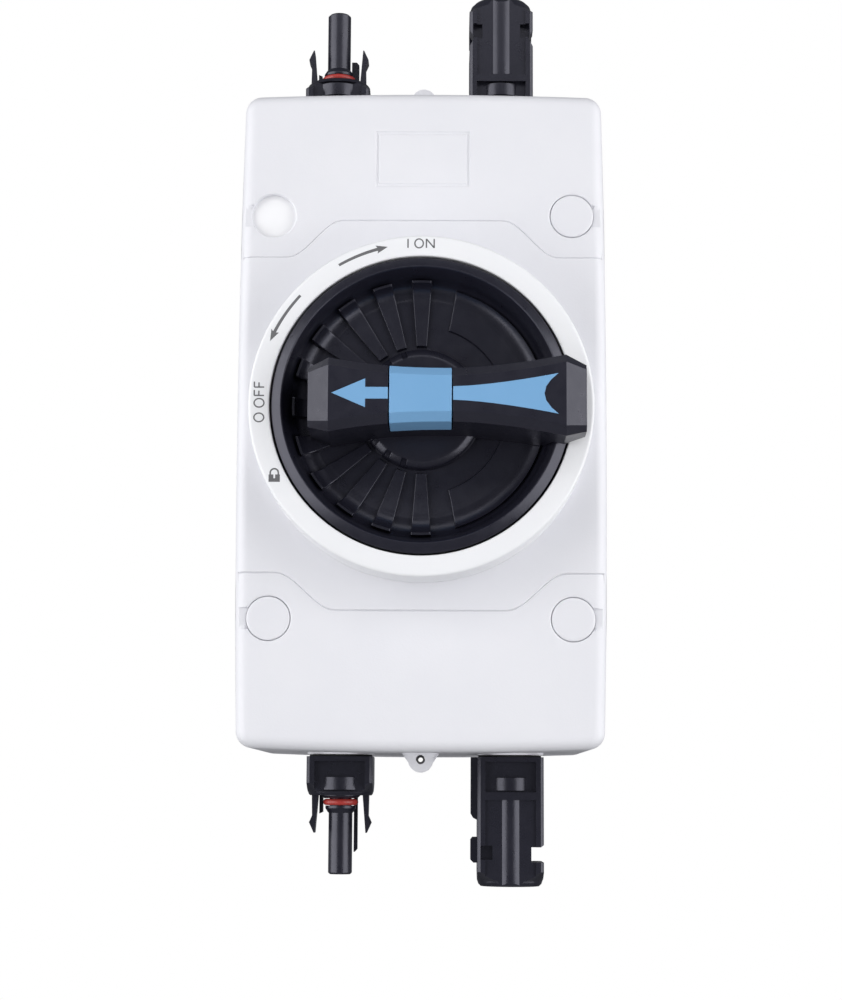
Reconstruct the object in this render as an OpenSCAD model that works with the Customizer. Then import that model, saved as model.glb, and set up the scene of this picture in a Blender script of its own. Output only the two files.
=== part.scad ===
// Rotary isolator switch for outdoor solar circuits, OFF position, hung on a wall.
// Millimetres. +X right, +Z up, the front faces -Y, and the wall is the plane y = 0.
// A depth f is a distance in front of the wall, so f = -y.

/* [Enclosure] */
// Width across the middle of the box
body_w = 85; // [83:0.5:88]
// Height of the box without its sealing ears
body_h = 153.6; // [151:0.2:156]
// Depth from the wall to the front face
front_f = 67; // [66.5:0.1:68]
// How far each side bows outwards between its corners
side_bow = 0.9; // [0.2:0.1:1.4]
// Radius of the four upright corners
corner_r = 3.6; // [3:0.1:5]
// Rounding around the front face
front_fillet = 2.8; // [1.5:0.1:3.2]
// Wall thickness of base and cover
wall_t = 2.6; // [2.4:0.1:2.8]

/* [Dial ring] */
// Outer radius of the white ring around the knob
ring_outer_r = 38.7; // [38:0.1:39.5]
// Inner radius of that ring
ring_inner_r = 33.95; // [33.9:0.05:34.2]
// Depth of the ring's face
ring_f = 80; // [79:0.1:80.6]

/* [Knob] */
// Radius of the round knob dish
dish_r = 33.5; // [33.2:0.1:33.6]
// Depth of the dish's rim
dish_rim_f = 81.2; // [80:0.1:82]
// Depth of the grip bar's top face
grip_top_f = 93.4; // [92.5:0.1:95]
// Half the length of the sliding lock block along the bar
lock_half = 6.8; // [6:0.1:7.2]
// Travel of the lock slide out of the bar
lock_travel = 8.4; // [8:0.1:8.6]

/* [Wall fixing] */
// Distance between the screw wells, left to right
well_dx = 69.2; // [68.8:0.1:69.6]
// Distance between the screw wells, top to bottom
well_dz = 93.8; // [92:0.2:96]
// Radius of the screw wells
well_r = 5.1; // [4.9:0.05:5.3]
// Radius of the wall screw holes
wall_hole_r = 2.4; // [2:0.1:2.8]

/* [Connectors] */
// Half the distance between the two connectors at one end
plug_x = 19.9; // [19.5:0.1:20.3]
// Shift of the upper pair to the right
upper_shift = -1.2; // [-1.4:0.1:0]
// Shift of the lower pair to the right
lower_shift = 1; // [0:0.1:1.4]
// Depth of the connector axes
plug_f = 41; // [40:0.1:41.4]
// Radius of the slim connector nose
nose_r = 2.8; // [2.7:0.05:2.9]
// Radius of the contact pins
pin_r = 1.5; // [1.4:0.05:1.6]

/* [Hidden] */
$fn = 64;
cut = 0.5;               // overrun of a cutting tool
fit = 0.05;              // radial clearance of a turning fit
gap = 0.3;               // clearance between pieces that move apart
sides = [-1, 1];

// Enclosure
part_f = 52.7;           // parting plane of base and cover
floor_t = 3.5;           // thickness of the base floor
plate_t = 2.8;           // thickness of the cover's front plate
zone_step = 0.35;        // how far the end zones lie below the middle zone
seam_chamfer = 0.35;     // chamfer along the parting line
rear_round = 1.4;        // rounding around the rear face
ring_foot_r = 35.4;      // foot that seats the dial ring in the cover
ring_foot_w = 2;
ring_foot_t = 1.2;
well_wall = 2.5;
well_floor_f = 65;       // knock-out web that closes each well until a wall screw is fitted
web_t = 0.8;
post_x = 35.3;           // cover screw posts
post_z = 66.5;
post_r = 5.2;
post_step_f = 38;        // shoulder under the cover screws' heads
boss_x = 28.2;           // bosses under the mounting plate
boss_z = 14;
shelf_t = 2.1;           // rim shelf that carries the gasket
gasket_w = 2;
gasket_t = 1.4;
gasket_half_w = 38.2;
gasket_half_h = 72.4;
gasket_r_wells = 9.2;    // the gasket passes the wells and posts at these radii
gasket_r_posts = 8.2;
ear_hole_z = body_h / 2 + 1.5;
ear_r = 2.9;
ear_hole_r = 1.05;
eyelet_r = 1;            // metal eyelet in each ear
eyelet_bore_r = 0.55;
ear_t = 2.5;
pad_z = body_h / 2 + 0.2; // flat pads that the connectors seat on
pad_r = 7.9;

// Switch
deck_f = 8.5;            // rear face of the first deck
deck_t = 8.5;
deck_half = 25;
deck_floor = 1.6;
rotor_r = 11.5;
journal_r = 7;
sweep_r = 16.2;
shaft_half = 3;
mech_f = deck_f + 4 * deck_t;
mech_cover_f = mech_f + 12;
mech_top_f = mech_cover_f + 2.5;
tie_at = 20.5;
screw_r = 1.5;
screw_hole_r = 1.6;
head_r = 2.6;
head_t = 2;
terminal_x = 9;          // decks 1 and 2 end on the left, 3 and 4 on the right
tab_t = 1.2;
link_t = 1;
lug_t = 0.8;
wire_r = 2.2;
spring_turns = 4;
spring_steps = 20;
spring_r = 8.7;
spring_wire_r = 0.55;
spring_pitch = 1.25;

// Knob
stem_r = 8;
stem_end_f = 57.6;
boss_end_f = 60;
hub_r = 13.6;
hub_f = 75.1;
bowl_f = 72.3;
fin_f = 73.2;
retainer_t = 1;
socket_half = 3.4;
grip_base_f = 73.4;
grip_bevel = 2;          // bevel along the grip's top edges
end_bevel = 4.7;         // bevel at the grip's two ends
grip_tip_x = 24.8;       // pointer end of the grip
grip_tail_x = 36.4;
tongue_half_x = 8.2;     // tongue that keeps the lock slide in the grip
tongue_half_z = 3;
tongue_f = 76.4;
hasp_r = 3;
hasp_f = 88.4;
block_f = 82;            // underside of the lock block
inlay_t = 0.6;
grip_screw_x = 11.2;

// Connectors, in distances from their pad
shank_r = 6;
shank_len = 12;
seal_t = 0.5;
collar_w = 15.4;
collar_len = 9.5;
sleeve_len = 30.3;
panel_half = 5.9;        // sunk panel on the front and back of a collar
panel_t = 1.5;
flute_t = 0.7;
barrel_r = 5.4;          // rounded block in the panel
rib_r = 3.6;             // rounded rib along a sleeve
nose_end = 27.8;

// Feet
foot_x = 36;
foot_t = 1.5;
foot_f = 0.05;
foot_recess = 1.9;
foot_reach = 16.3;
foot_screw_r = 1.45;

black = [0.12, 0.12, 0.14];
white = [0.9, 0.9, 0.92];
steel = [0.7, 0.7, 0.72];
copper = [0.8, 0.5, 0.3];

// Fills a front-view outline between two depths
module slab(f0, f1) {
    translate([0, -f0, 0]) rotate([90, 0, 0]) linear_extrude(f1 - f0) children();
}

// Turns a (radius, depth) profile about the dial axis
module turned(profile) {
    rotate([90, 0, 0]) rotate_extrude($fn = 96) polygon(profile);
}

// Round bar parallel to the dial axis
module bar(x, z, r, f0, f1) {
    translate([x, -f0, z]) rotate([90, 0, 0]) cylinder(h = f1 - f0, r = r);
}

// Cuboid between two depths
module block(x0, x1, f0, f1, z0, z1) {
    translate([x0, -f1, z0]) cube([x1 - x0, f1 - f0, z1 - z0]);
}

// Pan head screw along +Z with its head's underside at the origin
module screw(head_r, head_t, shank_r, length) {
    difference() {
        union() {
            cylinder(h = head_t, r = head_r, $fn = 32);
            translate([0, 0, -length]) cylinder(h = length, r = shank_r, $fn = 32);
        }
        for (turn = [0, 90])
            rotate([0, 0, turn])
                translate([-head_r * 0.6, -0.4, head_t / 2]) cube([head_r * 1.2, 0.8, head_t]);
    }
}

module front_screw(x, z, f, head_r, head_t, shank_r, length) {
    translate([x, -f, z]) rotate([90, 0, 0]) screw(head_r, head_t, shank_r, length);
}

// Box outline with bowed sides, drawn in by an inset
function corner(k) = [[1, 1], [-1, 1], [-1, -1], [1, -1]][k % 4];
function square_point(k, turn, w, h, r) =
    [corner(k).x * (w - r), corner(k).y * (h - r)] + r * [cos(90 * k + turn), sin(90 * k + turn)];
function bowed(p, w, h) =
    [p.x * (1 - side_bow / w * pow(p.y / h, 2)), p.y * (1 - side_bow / h * pow(p.x / w, 2))];
function box_outline(inset) =
    let (w = body_w / 2 - inset, h = body_h / 2 - inset, r = max(corner_r - inset, 0.6))
    [
        for (k = [0:3])
            each concat(
                [for (turn = [0:15:90]) bowed(square_point(k, turn, w, h, r), w, h)],
                [
                    for (t = [1:7])
                        let (a = square_point(k, 90, w, h, r), b = square_point(k + 1, 0, w, h, r))
                        bowed(a + (b - a) * t / 8, w, h)
                ]
            )
    ];

// Closed skin over rings of equal length, each clockwise as seen from the last ring's side
module loft(rings) {
    n = len(rings[0]);
    last = len(rings) - 1;
    polyhedron(
        points = [for (ring = rings) each ring],
        faces = concat(
            [[for (j = [n - 1:-1:0]) j]],
            [[for (j = [0:n - 1]) last * n + j]],
            [
                for (i = [0:last - 1], j = [0:n - 1])
                    [i * n + j, i * n + (j + 1) % n, (i + 1) * n + (j + 1) % n, (i + 1) * n + j]
            ]
        ),
        convexity = 4
    );
}

// Solid through box outlines, each given as [depth, inset]
module box_shell(levels) {
    loft([
        for (level = levels)
            let (outline = box_outline(level[1]))
            [for (k = [len(outline) - 1:-1:0]) [outline[k].x, -level[0], outline[k].y]]
    ]);
}

module at_wells() {
    for (sx = sides, sz = sides)
        translate([sx * well_dx / 2, sz * well_dz / 2]) children();
}

module at_posts() {
    for (sx = sides, sz = sides)
        translate([sx * post_x, sz * post_z]) children();
}

// Room inside the walls, around the wells and posts
module cavity_2d() {
    difference() {
        polygon(box_outline(wall_t));
        at_wells() circle(r = well_r + well_wall);
        at_posts() circle(r = post_r);
    }
}

// Gasket line, grown inwards by a distance
module gasket_line_2d(inward) {
    difference() {
        square(2 * [gasket_half_w - inward, gasket_half_h - inward], center = true);
        at_wells() circle(r = gasket_r_wells + inward);
        at_posts() circle(r = gasket_r_posts + inward);
    }
}

module gasket_2d() {
    difference() {
        gasket_line_2d(0);
        gasket_line_2d(gasket_w);
    }
}

module ear_2d() {
    for (sz = sides)
        scale([1, sz])
            difference() {
                union() {
                    translate([0, ear_hole_z]) circle(r = ear_r);
                    polygon([
                        [-5, body_h / 2 - 1], [5, body_h / 2 - 1],
                        [ear_r - 0.1, ear_hole_z + 0.7], [0.1 - ear_r, ear_hole_z + 0.7],
                    ]);
                }
                translate([0, ear_hole_z]) circle(r = ear_hole_r);
            }
}

module base_housing() color(white) {
    difference() {
        union() {
            difference() {
                union() {
                    box_shell([
                        [0, rear_round], [0.3 * rear_round, 0.4], [rear_round, 0],
                        [part_f - seam_chamfer, 0], [part_f, seam_chamfer],
                    ]);
                    slab(part_f - ear_t, part_f) ear_2d();
                    for (sx = sides, sz = sides)
                        on_pad(sx, sz) translate([0, 0, -10]) cylinder(h = 10, r = pad_r);
                }
                slab(floor_t, part_f - shelf_t) cavity_2d();
                slab(part_f - shelf_t - cut, part_f + cut)
                    gasket_line_2d(gasket_w + 1.6);
                slab(part_f - gasket_t, part_f + cut) gasket_2d();
            }
            // bosses for the feet's screws and posts for the switch's plate
            for (sx = sides) {
                bar(sx * foot_x, 0, 3.6, foot_recess, 11);
                for (sz = sides)
                    bar(sx * boss_x, sz * boss_z, 3.4, floor_t - cut, 7);
            }
        }
        for (sx = sides, sz = sides) {
            bar(sx * well_dx / 2, sz * well_dz / 2, well_r, floor_t, part_f + cut);
            bar(sx * well_dx / 2, sz * well_dz / 2, wall_hole_r, -cut, floor_t + cut);
            bar(sx * post_x, sz * post_z, 3.3, -cut, post_step_f);
            bar(sx * post_x, sz * post_z, 2, post_step_f - cut, part_f + cut);
            bar(sx * boss_x, sz * boss_z, screw_r, 2.6, 7 + cut);
        }
        for (sx = sides, sz = sides)
            on_pad(sx, sz) translate([0, 0, -10 - cut]) cylinder(h = 10 + 2 * cut, r = shank_r + fit);
        for (sx = sides) {
            bar(sx * foot_x, 0, foot_reach, -cut, foot_recess);
            bar(sx * foot_x, 0, foot_screw_r + fit, foot_recess - cut, 10);
        }
    }
}

// Front-view area past the line where an end zone of the cover starts. The line runs in from
// the side at side_z, swings over to middle_z between two distances from the middle, and goes
// straight across.
module zone_2d(side_z, side_x, middle_z, middle_x) {
    half = [
        [body_w, side_z],
        for (turn = [0:30:180])
            [
                side_x + (middle_x - side_x) * turn / 180,
                side_z + (middle_z - side_z) * (1 - cos(turn)) / 2,
            ],
    ];
    polygon(concat(
        [[-body_w, body_h], [body_w, body_h]],
        half,
        [for (k = [len(half) - 1:-1:0]) [-half[k].x, half[k].y]]
    ));
}

module front_cover() color(white) {
    difference() {
        union() {
            difference() {
                union() {
                    box_shell([
                        [part_f, seam_chamfer], [part_f + seam_chamfer, 0],
                        for (turn = [0:18:90])
                            [front_f - front_fillet * (1 - sin(turn)), front_fillet * (1 - cos(turn))],
                    ]);
                    slab(part_f, part_f + ear_t) ear_2d();
                }
                slab(part_f + shelf_t, front_f - plate_t) cavity_2d();
                slab(part_f - cut, part_f + shelf_t + cut) gasket_line_2d(gasket_w + 1.6);
                slab(front_f - zone_step, front_f + cut) {
                    zone_2d(36.9, 31.2, 45.7, 18.6);
                    mirror([0, 1]) zone_2d(36.5, 33, 45, 19.5);
                }
            }
            bar(0, 0, 12, boss_end_f, front_f + 1.5);
        }
        for (sx = sides, sz = sides) {
            bar(sx * well_dx / 2, sz * well_dz / 2, well_r, part_f - cut, well_floor_f - web_t);
            bar(sx * well_dx / 2, sz * well_dz / 2, well_r, well_floor_f, front_f + cut);
            bar(sx * post_x, sz * post_z, screw_r, part_f - cut, 62);
            // slot for lifting a cap out
            block(min(sx * 34, sx * 44), max(sx * 34, sx * 44), front_f - 1.1, front_f + cut,
                sz * well_dz / 2 - 2.5, sz * well_dz / 2 + 2.5);
        }
        bar(0, 0, stem_r + fit, boss_end_f - cut, front_f + 2);
        bar(0, 0, 10.5, front_f - 0.5, front_f + 2);
        // groove that the dial ring is seated in
        turned([
            [ring_foot_r - fit, front_f - ring_foot_t],
            [ring_foot_r + ring_foot_w + fit, front_f - ring_foot_t],
            [ring_foot_r + ring_foot_w + fit, front_f + cut], [ring_foot_r - fit, front_f + cut],
        ]);
        // outline of the blank name plate
        slab(front_f - zone_step - 0.3, front_f) difference() {
            translate([-10.8, 54]) square([21.6, 13]);
            translate([-10.3, 54.5]) square([20.6, 12]);
        }
    }
}

// Eyelets through the ears for a sealing wire
module seal_eyelets() color(steel) {
    for (sz = sides)
        translate([0, 0, sz * ear_hole_z])
            turned([
                [eyelet_bore_r, part_f - ear_t], [eyelet_r, part_f - ear_t],
                [eyelet_r, part_f + ear_t], [eyelet_bore_r, part_f + ear_t],
            ]);
}

// Ring that carries the marks around the knob
module dial_ring() color(white) {
    turned([
        [ring_inner_r, front_f], [ring_inner_r, ring_f - 0.4], [ring_inner_r + 0.4, ring_f],
        [ring_outer_r - 0.6, ring_f], [ring_outer_r, ring_f - 0.6], [ring_outer_r, front_f],
        [ring_foot_r + ring_foot_w, front_f], [ring_foot_r + ring_foot_w, front_f - ring_foot_t],
        [ring_foot_r, front_f - ring_foot_t], [ring_foot_r, front_f],
    ]);
}

module cover_gasket() color([0.25, 0.25, 0.27]) {
    slab(part_f - gasket_t, part_f) gasket_2d();
}

module cover_screws() color(steel) {
    for (sx = sides, sz = sides)
        translate([sx * post_x, -post_step_f, sz * post_z]) rotate([-90, 0, 0]) screw(3, 2.2, 1.45, 22);
}

// The top left well has lost its cap
module screw_caps() color(white) {
    rear = well_floor_f + 0.1;
    top = front_f - zone_step;
    for (at = [[1, 1], [-1, -1], [1, -1]])
        translate([at.x * well_dx / 2, 0, at.y * well_dz / 2])
            turned([
                [0, rear], [well_r - 0.25, rear], [well_r - fit, rear + 0.2],
                [well_r - fit, top - 0.2], [well_r - 0.25, top], [0, top],
            ]);
}

// Bowl wall of the dish, from the floor to the rim
bowl_wall = [
    for (t = [0:15:90]) [25.1 + 4.6 * sin(t), bowl_f + 4.6 * (1 - cos(t))],
];

module knob_dish() color(black) {
    difference() {
        union() {
            turned(concat(
                [
                    [0, hub_f], [hub_r - 0.3, hub_f], [hub_r, hub_f - 0.3], [hub_r + 0.3, bowl_f],
                    [18, bowl_f], [18.3, bowl_f + 0.4], [19.1, bowl_f + 0.4], [19.4, bowl_f],
                ],
                bowl_wall,
                [
                    [31, dish_rim_f - 0.6], [31.5, dish_rim_f], [dish_r - 0.9, dish_rim_f],
                    [dish_r, dish_rim_f - 0.9], [dish_r, 69.6], [dish_r - 2, 69.6],
                    [dish_r - 2.4, 74], [27.6, 70.2], [stem_r, 70.2], [stem_r, stem_end_f],
                    [0, stem_end_f],
                ]
            ));
            // raised fins on the pointer's side
            for (k = [-5:5])
                rotate([0, -18 * k - 180, 0]) rotate([90, 0, 0])
                    rotate([0, 0, -4.5]) rotate_extrude(angle = 9)
                        polygon([[14.2, bowl_f - 0.5], [27, bowl_f - 0.5], [28.6, fin_f], [14.2, fin_f]]);
        }
        // socket for the shaft
        block(-socket_half, socket_half, stem_end_f - cut, 70.6, -socket_half, socket_half);
        // groove for the retaining ring
        turned([
            [journal_r + 0.2, boss_end_f - gap - retainer_t], [stem_r + 1, boss_end_f - gap - retainer_t],
            [stem_r + 1, boss_end_f - gap], [journal_r + 0.2, boss_end_f - gap],
        ]);
        for (sx = sides) {
            bar(sx * grip_screw_x, 0, 2.4, 70.2 - cut, 72);
            bar(sx * grip_screw_x, 0, 1.6, 71, hub_f + cut);
        }
    }
}

// Half width of the grip's top face, which is narrowest just right of the dial axis
function grip_half(x) = x < 7
    ? 3.95 + 2.25 * pow((7 - x) / 27.1, 2.4)
    : 3.95 + 3.05 * pow((x - 7) / 24.7, 1.7);

// Cross-section of the grip at x: base, bevel and top, up one side and down the other
function grip_ring(x, half, bevel, top) = [
    [x, -grip_base_f, -half - bevel - 0.4], [x, -top + bevel, -half - bevel], [x, -top, -half],
    [x, -top, half], [x, -top + bevel, half + bevel], [x, -grip_base_f, half + bevel + 0.4],
];

module grip_blank() {
    tip = -grip_tip_x + end_bevel;
    tail = grip_tail_x - end_bevel;
    low = grip_top_f - end_bevel;
    loft(concat(
        [grip_ring(-grip_tip_x, grip_half(tip) - 0.8, 1.2, low)],
        [for (x = [tip:2.7:tail - 0.1]) grip_ring(x, grip_half(x), grip_bevel, grip_top_f)],
        [grip_ring(tail, grip_half(tail), grip_bevel, grip_top_f)],
        [grip_ring(grip_tail_x, grip_half(tail) - 0.8, 1.2, low)]
    ));
}

// Arrow towards the pointer end, and the swallow tail behind it
module arrow_2d() {
    polygon([
        [-19.4, 0], [-12, 3.2], [-12, 1.3], [-lock_half - gap, 1.3],
        [-lock_half - gap, -1.3], [-12, -1.3], [-12, -3.2],
    ]);
    tail = [for (t = [0:8]) [lock_half + gap + 22.9 * t / 8, 1.5 + 3 * pow(t / 8, 1.5)]];
    polygon(concat(
        tail,
        [[28.4, 3.1], [27.3, 1.6], [26.9, 0], [27.3, -1.6], [28.4, -3.1]],
        [for (k = [8:-1:0]) [tail[k].x, -tail[k].y]]
    ));
}

module handle_grip() color(black) {
    difference() {
        grip_blank();
        // room for the hub and for the bowl's wall and rim
        bar(0, 0, hub_r + 0.4, 70, hub_f);
        turned([
            [25, 70], [25, 73.6], [29, 75.6], [30.5, dish_rim_f + 0.4], [45, dish_rim_f + 0.4], [45, 70],
        ]);
        block(-lock_half - gap, lock_half + gap, block_f - gap, grip_top_f + cut, -12, 12);
        block(-tongue_half_x - gap, tongue_half_x + gap, tongue_f - gap,
            block_f + lock_travel + gap, -tongue_half_z - gap, tongue_half_z + gap);
        slab(grip_top_f - inlay_t, grip_top_f + cut) arrow_2d();
        for (sx = sides)
            bar(sx * grip_screw_x, 0, screw_r, hub_f - cut, 84);
    }
}

module arrow_inlay() color([0.5, 0.69, 0.85]) {
    slab(grip_top_f - inlay_t, grip_top_f) arrow_2d();
}

module grip_screws() color(steel) {
    for (sx = sides)
        translate([sx * grip_screw_x, -72, 0]) rotate([90, 0, 0]) mirror([0, 0, 1])
            screw(2.3, 1.6, 1.45, 11);
}

module knob_retainer() color(steel) {
    difference() {
        bar(0, 0, 10, boss_end_f - gap - retainer_t, boss_end_f - gap);
        bar(0, 0, journal_r + 0.25, boss_end_f - 2, boss_end_f);
        block(-5, 5, boss_end_f - 2, boss_end_f, -12, 0);
    }
}

module knob_seal() color([0.2, 0.2, 0.22]) {
    difference() {
        bar(0, 0, 10.45, front_f - 0.5, front_f + 1.3);
        bar(0, 0, stem_r + fit, front_f - 1, front_f + 2);
    }
}

// Block that pulls out of the grip to bare a padlock hole through it
module lock_slide() color([0.5, 0.69, 0.85]) {
    difference() {
        union() {
            intersection() {
                grip_blank();
                block(-lock_half, lock_half, block_f, grip_top_f + cut, -12, 12);
            }
            block(-tongue_half_x, tongue_half_x, tongue_f, block_f, -tongue_half_z, tongue_half_z);
        }
        translate([-lock_half - cut, -hasp_f, 0]) rotate([0, 90, 0])
            cylinder(h = 2 * (lock_half + cut), r = hasp_r);
    }
}

// Square deck outline with cut corners
module deck_2d() {
    c = deck_half - 3;
    polygon([
        [deck_half, c], [c, deck_half], [-c, deck_half], [-deck_half, c],
        [-deck_half, -c], [-c, -deck_half], [c, -deck_half], [deck_half, -c],
    ]);
}

module tie_holes_2d() {
    for (sx = sides, sz = sides)
        translate([sx * tie_at, sz * tie_at]) circle(r = screw_hole_r, $fn = 32);
}

module mounting_plate() color(steel) {
    slab(deck_f - 1.5, deck_f) difference() {
        square([62, 46], center = true);
        circle(r = 5);
        tie_holes_2d();
        for (sx = sides, sz = sides)
            translate([sx * boss_x, sz * boss_z]) circle(r = screw_hole_r, $fn = 32);
    }
}

module plate_screws() color(steel) {
    for (sx = sides, sz = sides)
        front_screw(sx * boss_x, sz * boss_z, deck_f, 2.5, 1.8, 1.45, 5.6);
}

function deck_rear(k) = deck_f + (k - 1) * deck_t;
function deck_side(k) = k < 3 ? -1 : 1;

module contact_deck(k) color([0.32, 0.33, 0.35]) {
    f = deck_rear(k);
    difference() {
        slab(f, f + deck_t) difference() {
            deck_2d();
            circle(r = journal_r + fit);
            tie_holes_2d();
        }
        bar(0, 0, sweep_r, f + deck_floor, f + deck_t + cut);
        // bays for the fixed contacts
        for (sz = sides)
            block(-14, 14, f + 3.1, f + deck_t + cut, sz > 0 ? 12 : -deck_half - cut,
                sz > 0 ? deck_half + cut : -12);
    }
}

module rotor(k) color([0.75, 0.3, 0.2]) {
    f = deck_rear(k);
    difference() {
        union() {
            bar(0, 0, journal_r, f + 0.2, f + 3);
            bar(0, 0, rotor_r, f + 2, f + 8.1);
        }
        slab(f, f + deck_t) square(2 * (shaft_half + fit), center = true);
        // slot that holds the moving contact
        slab(f + 4.6, f + deck_t) square([2 * rotor_r + 2, 5.6], center = true);
        bar(0, 0, 6.6, f + 4.6, f + deck_t);
    }
}

module moving_contact(k) color(copper) {
    f = deck_rear(k) + 4.6;
    slab(f, f + 1) difference() {
        union() {
            circle(r = 6.5);
            intersection() {
                circle(r = 15.4);
                square([32, 5.5], center = true);
            }
        }
        square(2 * (shaft_half + fit), center = true);
    }
}

module fixed_contacts(k) color(copper) {
    f = deck_rear(k);
    x = deck_side(k) * terminal_x;
    for (sz = sides)
        scale([1, 1, sz])
            difference() {
                union() {
                    block(-3.5, 3.5, f + 3.4, f + 4.25, 12.2, 20);
                    block(-3.5, 3.5, f + 5.95, f + 6.8, 12.2, 20);
                    block(-3.5, 3.5, f + 3.4, f + 6.8, 18.5, 20);
                    block(min(x - 4.2, -3.5), max(x + 4.2, 3.5), f + 3.4, f + 4.25, 18.5, 25.6);
                    block(x - 4.2, x + 4.2, f + 3.4, f + 8.4, deck_half, deck_half + tab_t);
                }
                translate([x, -f - 6.2, 20]) cylinder(h = 8, r = screw_hole_r, $fn = 32);
            }
}

module mechanism_housing() color([0.32, 0.33, 0.35]) {
    difference() {
        slab(mech_f, mech_cover_f) difference() {
            deck_2d();
            circle(r = journal_r + fit);
            tie_holes_2d();
        }
        bar(0, 0, 15, mech_f + 1.6, mech_cover_f + cut);
    }
}

module mechanism_cover() color([0.32, 0.33, 0.35]) {
    slab(mech_cover_f, mech_top_f) difference() {
        deck_2d();
        circle(r = 5 + fit);
        tie_holes_2d();
    }
}

module drive_shaft() color([0.55, 0.56, 0.6]) {
    slab(deck_f + 0.3, mech_f + 1) square(2 * shaft_half, center = true);
    turned([
        [0, mech_f + 0.3], [journal_r, mech_f + 0.3], [journal_r, mech_f + 3], [9.5, mech_f + 3],
        [9.5, mech_f + 4.4], [journal_r, mech_f + 4.4], [journal_r, mech_cover_f - gap],
        [5, mech_cover_f - gap], [5, mech_top_f + 0.2], [0, mech_top_f + 0.2],
    ]);
    slab(mech_top_f, 70.2) square(6.5, center = true);
}

// Cross-section of the snap spring's wire, one step along its coil
function spring_ring(i) =
    let (turn = 360 * i / spring_steps)
    [
        for (j = [5:-1:0])
            let (r = spring_r + spring_wire_r * cos(60 * j))
            [
                r * cos(turn),
                -mech_f - 5.6 - spring_pitch * i / spring_steps - spring_wire_r * sin(60 * j),
                r * sin(turn),
            ]
    ];

// Torsion spring that snaps the contacts over
module snap_spring() color(steel) {
    loft([for (i = [0:spring_turns * spring_steps]) spring_ring(i)]);
}

module tie_screws() color(steel) {
    for (sx = sides, sz = sides)
        front_screw(sx * tie_at, sz * tie_at, mech_top_f, head_r, head_t, screw_r, mech_top_f - 6);
}

// Depth of a deck's terminal screws
function terminal_f(k) = deck_rear(k) + 6.2;
function has_lug(k) = k % 2 == 0;

module terminal_screws() color(steel) {
    for (k = [1:4], sz = sides)
        scale([1, 1, sz])
            translate([
                deck_side(k) * terminal_x, -terminal_f(k),
                deck_half + tab_t + link_t + (has_lug(k) ? lug_t : 0),
            ])
                screw(head_r, head_t, screw_r, 5);
}

// Copper links that join the terminals of two decks
module terminal_links() color(copper) {
    for (k = [1, 3], sz = sides)
        scale([1, 1, sz])
            difference() {
                x = deck_side(k) * terminal_x;
                z = deck_half + tab_t;
                block(x - 4, x + 4, terminal_f(k) - 3.4, terminal_f(k + 1) + 3, z, z + link_t);
                for (d = [k, k + 1])
                    translate([x, -terminal_f(d), z - cut])
                        cylinder(h = link_t + 2 * cut, r = screw_hole_r, $fn = 32);
            }
}

// Point on a cubic curve through its two ends
function curve(p, t) =
    pow(1 - t, 3) * p[0] + 3 * t * pow(1 - t, 2) * p[1] + 3 * t * t * (1 - t) * p[2] + pow(t, 3) * p[3];
function slope(p, t) = curve(p, t + 0.01) - curve(p, t - 0.01);
function unit(v) = v / norm(v);

// Ring around a curve, square to it
function curve_ring(p, t, r) =
    let (along = unit(slope(p, t)), side = unit(cross(along, [1, 0, 0])), up = cross(side, along))
    [for (turn = [0:45:315]) curve(p, t) + r * (cos(turn) * side + sin(turn) * up)];

// Insulated wire from a terminal lug to the back of a connector
module wire(sx, sz) {
    k = sx < 0 ? 2 : 4;
    z = deck_half + tab_t + link_t;
    lug_f = terminal_f(k);
    route = [
        [sx * 17.5, -lug_f, z + lug_t - 0.1], [sx * 17.5, -lug_f, z + 20],
        [plug_at(sx, sz), -plug_f, pad_z - 34], [plug_at(sx, sz), -plug_f, pad_z - 7],
    ];
    color(sx < 0 ? [0.7, 0.15, 0.12] : [0.15, 0.15, 0.17])
        scale([1, 1, sz]) {
            loft([for (t = [0:0.0625:1]) curve_ring(route, t, wire_r)]);
            difference() {
                union() {
                    translate([sx * terminal_x, -lug_f, z]) cylinder(h = lug_t, r = 3.2, $fn = 32);
                    block(min(sx * 11, sx * 20), max(sx * 11, sx * 20), lug_f - 1.8, lug_f + 1.8,
                        z, z + lug_t);
                }
                translate([sx * terminal_x, -lug_f, z - cut])
                    cylinder(h = lug_t + 2 * cut, r = screw_hole_r, $fn = 32);
            }
        }
}

// Distance of a connector's axis from the middle
function plug_at(sx, sz) = sx * plug_x + (sz > 0 ? upper_shift : lower_shift);

// Puts a connector piece on its pad, upright at the top and hanging at the bottom
module on_pad(sx, sz) {
    scale([1, 1, sz]) translate([plug_at(sx, sz), -plug_f, pad_z]) children();
}

module shank() {
    translate([0, 0, -shank_len]) cylinder(h = shank_len + seal_t + cut, r = shank_r);
}

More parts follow.
